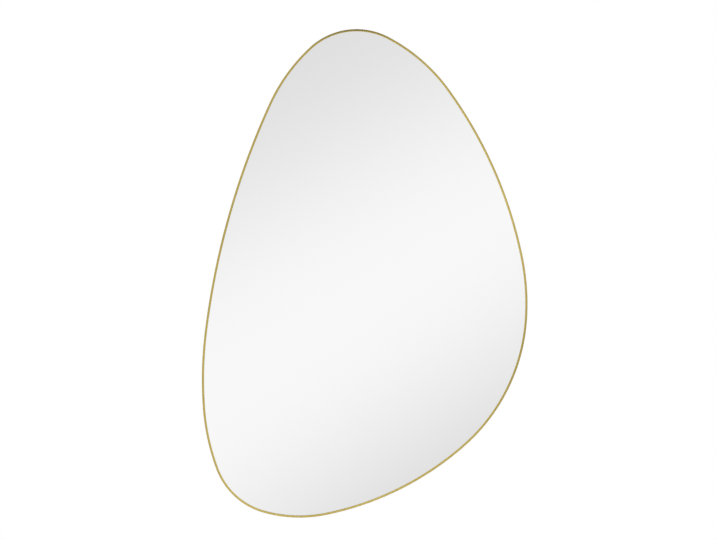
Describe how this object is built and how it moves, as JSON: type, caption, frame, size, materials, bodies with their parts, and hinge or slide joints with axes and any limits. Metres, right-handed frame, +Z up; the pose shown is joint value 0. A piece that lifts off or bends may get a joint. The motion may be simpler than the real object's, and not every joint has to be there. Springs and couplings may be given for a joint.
{
  "type": "irregular wall mirror",
  "caption": "Wall mirror of irregular pebble outline in a thin brushed gold metal frame, with a backing board and D-ring hangers that swing.",
  "frame": {"origin": "on the wall, midway between the two hooks that carry the mirror, at the level at which the turned-up rings' bows hang on them", "axes": "+X to the right as seen from the front, +Y into the wall, +Z up; the glass faces -Y"},
  "size_m": [0.6, 0.0247, 0.9],
  "materials": {
    "gold_aluminium": "brushed, anodised pale gold",
    "silvered_glass": "polished float glass, silvered on its back",
    "white_film": "plain",
    "grey_foam": "closed-cell foam",
    "fibreboard": "raw medium-density fibreboard",
    "plain_steel": "cold rolled",
    "black_steel": "black oxide",
    "spring_steel": "blued spring temper",
    "zinc_plate": "zinc plated",
    "grey_felt": "pressed wool felt"
  },
  "bodies": {
    "mirror_body": {"frame_rail": "gold_aluminium", "splice_plate": "plain_steel", "splice_screws": "black_steel", "mirror_glass": "silvered_glass", "safety_film": "white_film", "foam_tape_1": "grey_foam", "foam_tape_2": "grey_foam", "foam_tape_3": "grey_foam", "foam_tape_4": "grey_foam", "foam_tape_5": "grey_foam", "backing_board": "fibreboard", "spring_clip_1": "spring_steel", "spring_clip_2": "spring_steel", "spring_clip_3": "spring_steel", "spring_clip_4": "spring_steel", "spring_clip_5": "spring_steel", "spring_clip_6": "spring_steel", "spring_clip_7": "spring_steel", "spring_clip_8": "spring_steel", "hanger_strap_left": "zinc_plate", "hanger_screws_left": "zinc_plate", "hanger_strap_right": "zinc_plate", "hanger_screws_right": "zinc_plate", "wall_pad_1": "grey_felt", "wall_pad_2": "grey_felt", "wall_pad_3": "grey_felt", "wall_pad_4": "grey_felt"},
    "left_ring": {"hanger_ring_left": "zinc_plate"},
    "right_ring": {"hanger_ring_right": "zinc_plate"}
  },
  "joints": [
    {"name": "left_ring_swing", "type": "hinge", "parent": "mirror_body", "child": "left_ring", "pos_m": [-0.15, -0.0094, -0.0133], "axis": [1, 0, 0], "range_deg": [0, 180]},
    {"name": "right_ring_swing", "type": "hinge", "parent": "mirror_body", "child": "right_ring", "pos_m": [0.15, -0.0094, -0.0133], "axis": [1, 0, 0], "range_deg": [0, 180]}
  ]
}
